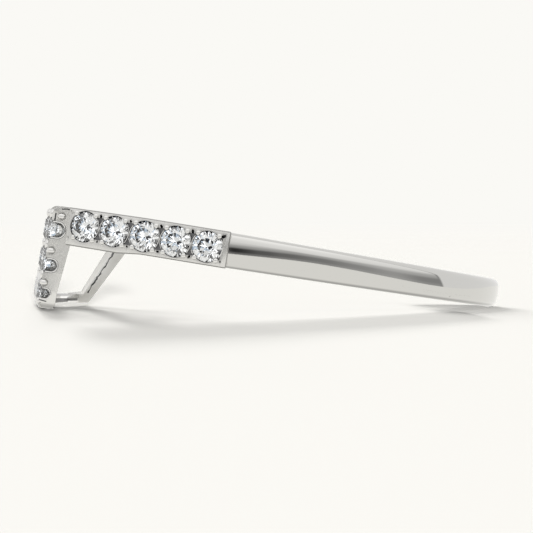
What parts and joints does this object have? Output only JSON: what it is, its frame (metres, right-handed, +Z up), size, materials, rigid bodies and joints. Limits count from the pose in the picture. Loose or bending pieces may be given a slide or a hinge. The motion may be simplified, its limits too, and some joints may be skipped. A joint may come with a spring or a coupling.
{
  "type": "wedding band",
  "caption": "Contour wedding band lying on its side: a slim polished shank whose stone-set shoulders end in a square notch with a stone-set rail, and a plain wire under it.",
  "frame": {"origin": "middle of the bounding box at the level the ring rests on", "axes": "-X towards the notched front, +Z up; the ring lies on its side, its finger axis leaning 9.3 degrees from +Z in the XZ plane, because it stands on the front rail and on the back of the shank"},
  "size_m": [0.0208, 0.0198, 0.0045],
  "materials": {
    "white_gold": "mirror polished, cool white",
    "diamond": "polished round brilliant facets"
  },
  "bodies": {
    "root": {"band": "white_gold", "stone_1": "diamond", "stone_2": "diamond", "stone_3": "diamond", "stone_4": "diamond", "stone_5": "diamond", "stone_6": "diamond", "stone_7": "diamond", "stone_8": "diamond", "stone_9": "diamond", "stone_10": "diamond", "stone_11": "diamond", "stone_12": "diamond", "stone_13": "diamond", "stone_14": "diamond", "stone_15": "diamond", "stone_16": "diamond", "stone_17": "diamond", "stone_18": "diamond", "stone_19": "diamond", "stone_20": "diamond", "stone_21": "diamond", "stone_22": "diamond", "stone_23": "diamond", "stone_24": "diamond"}
  },
  "joints": []
}
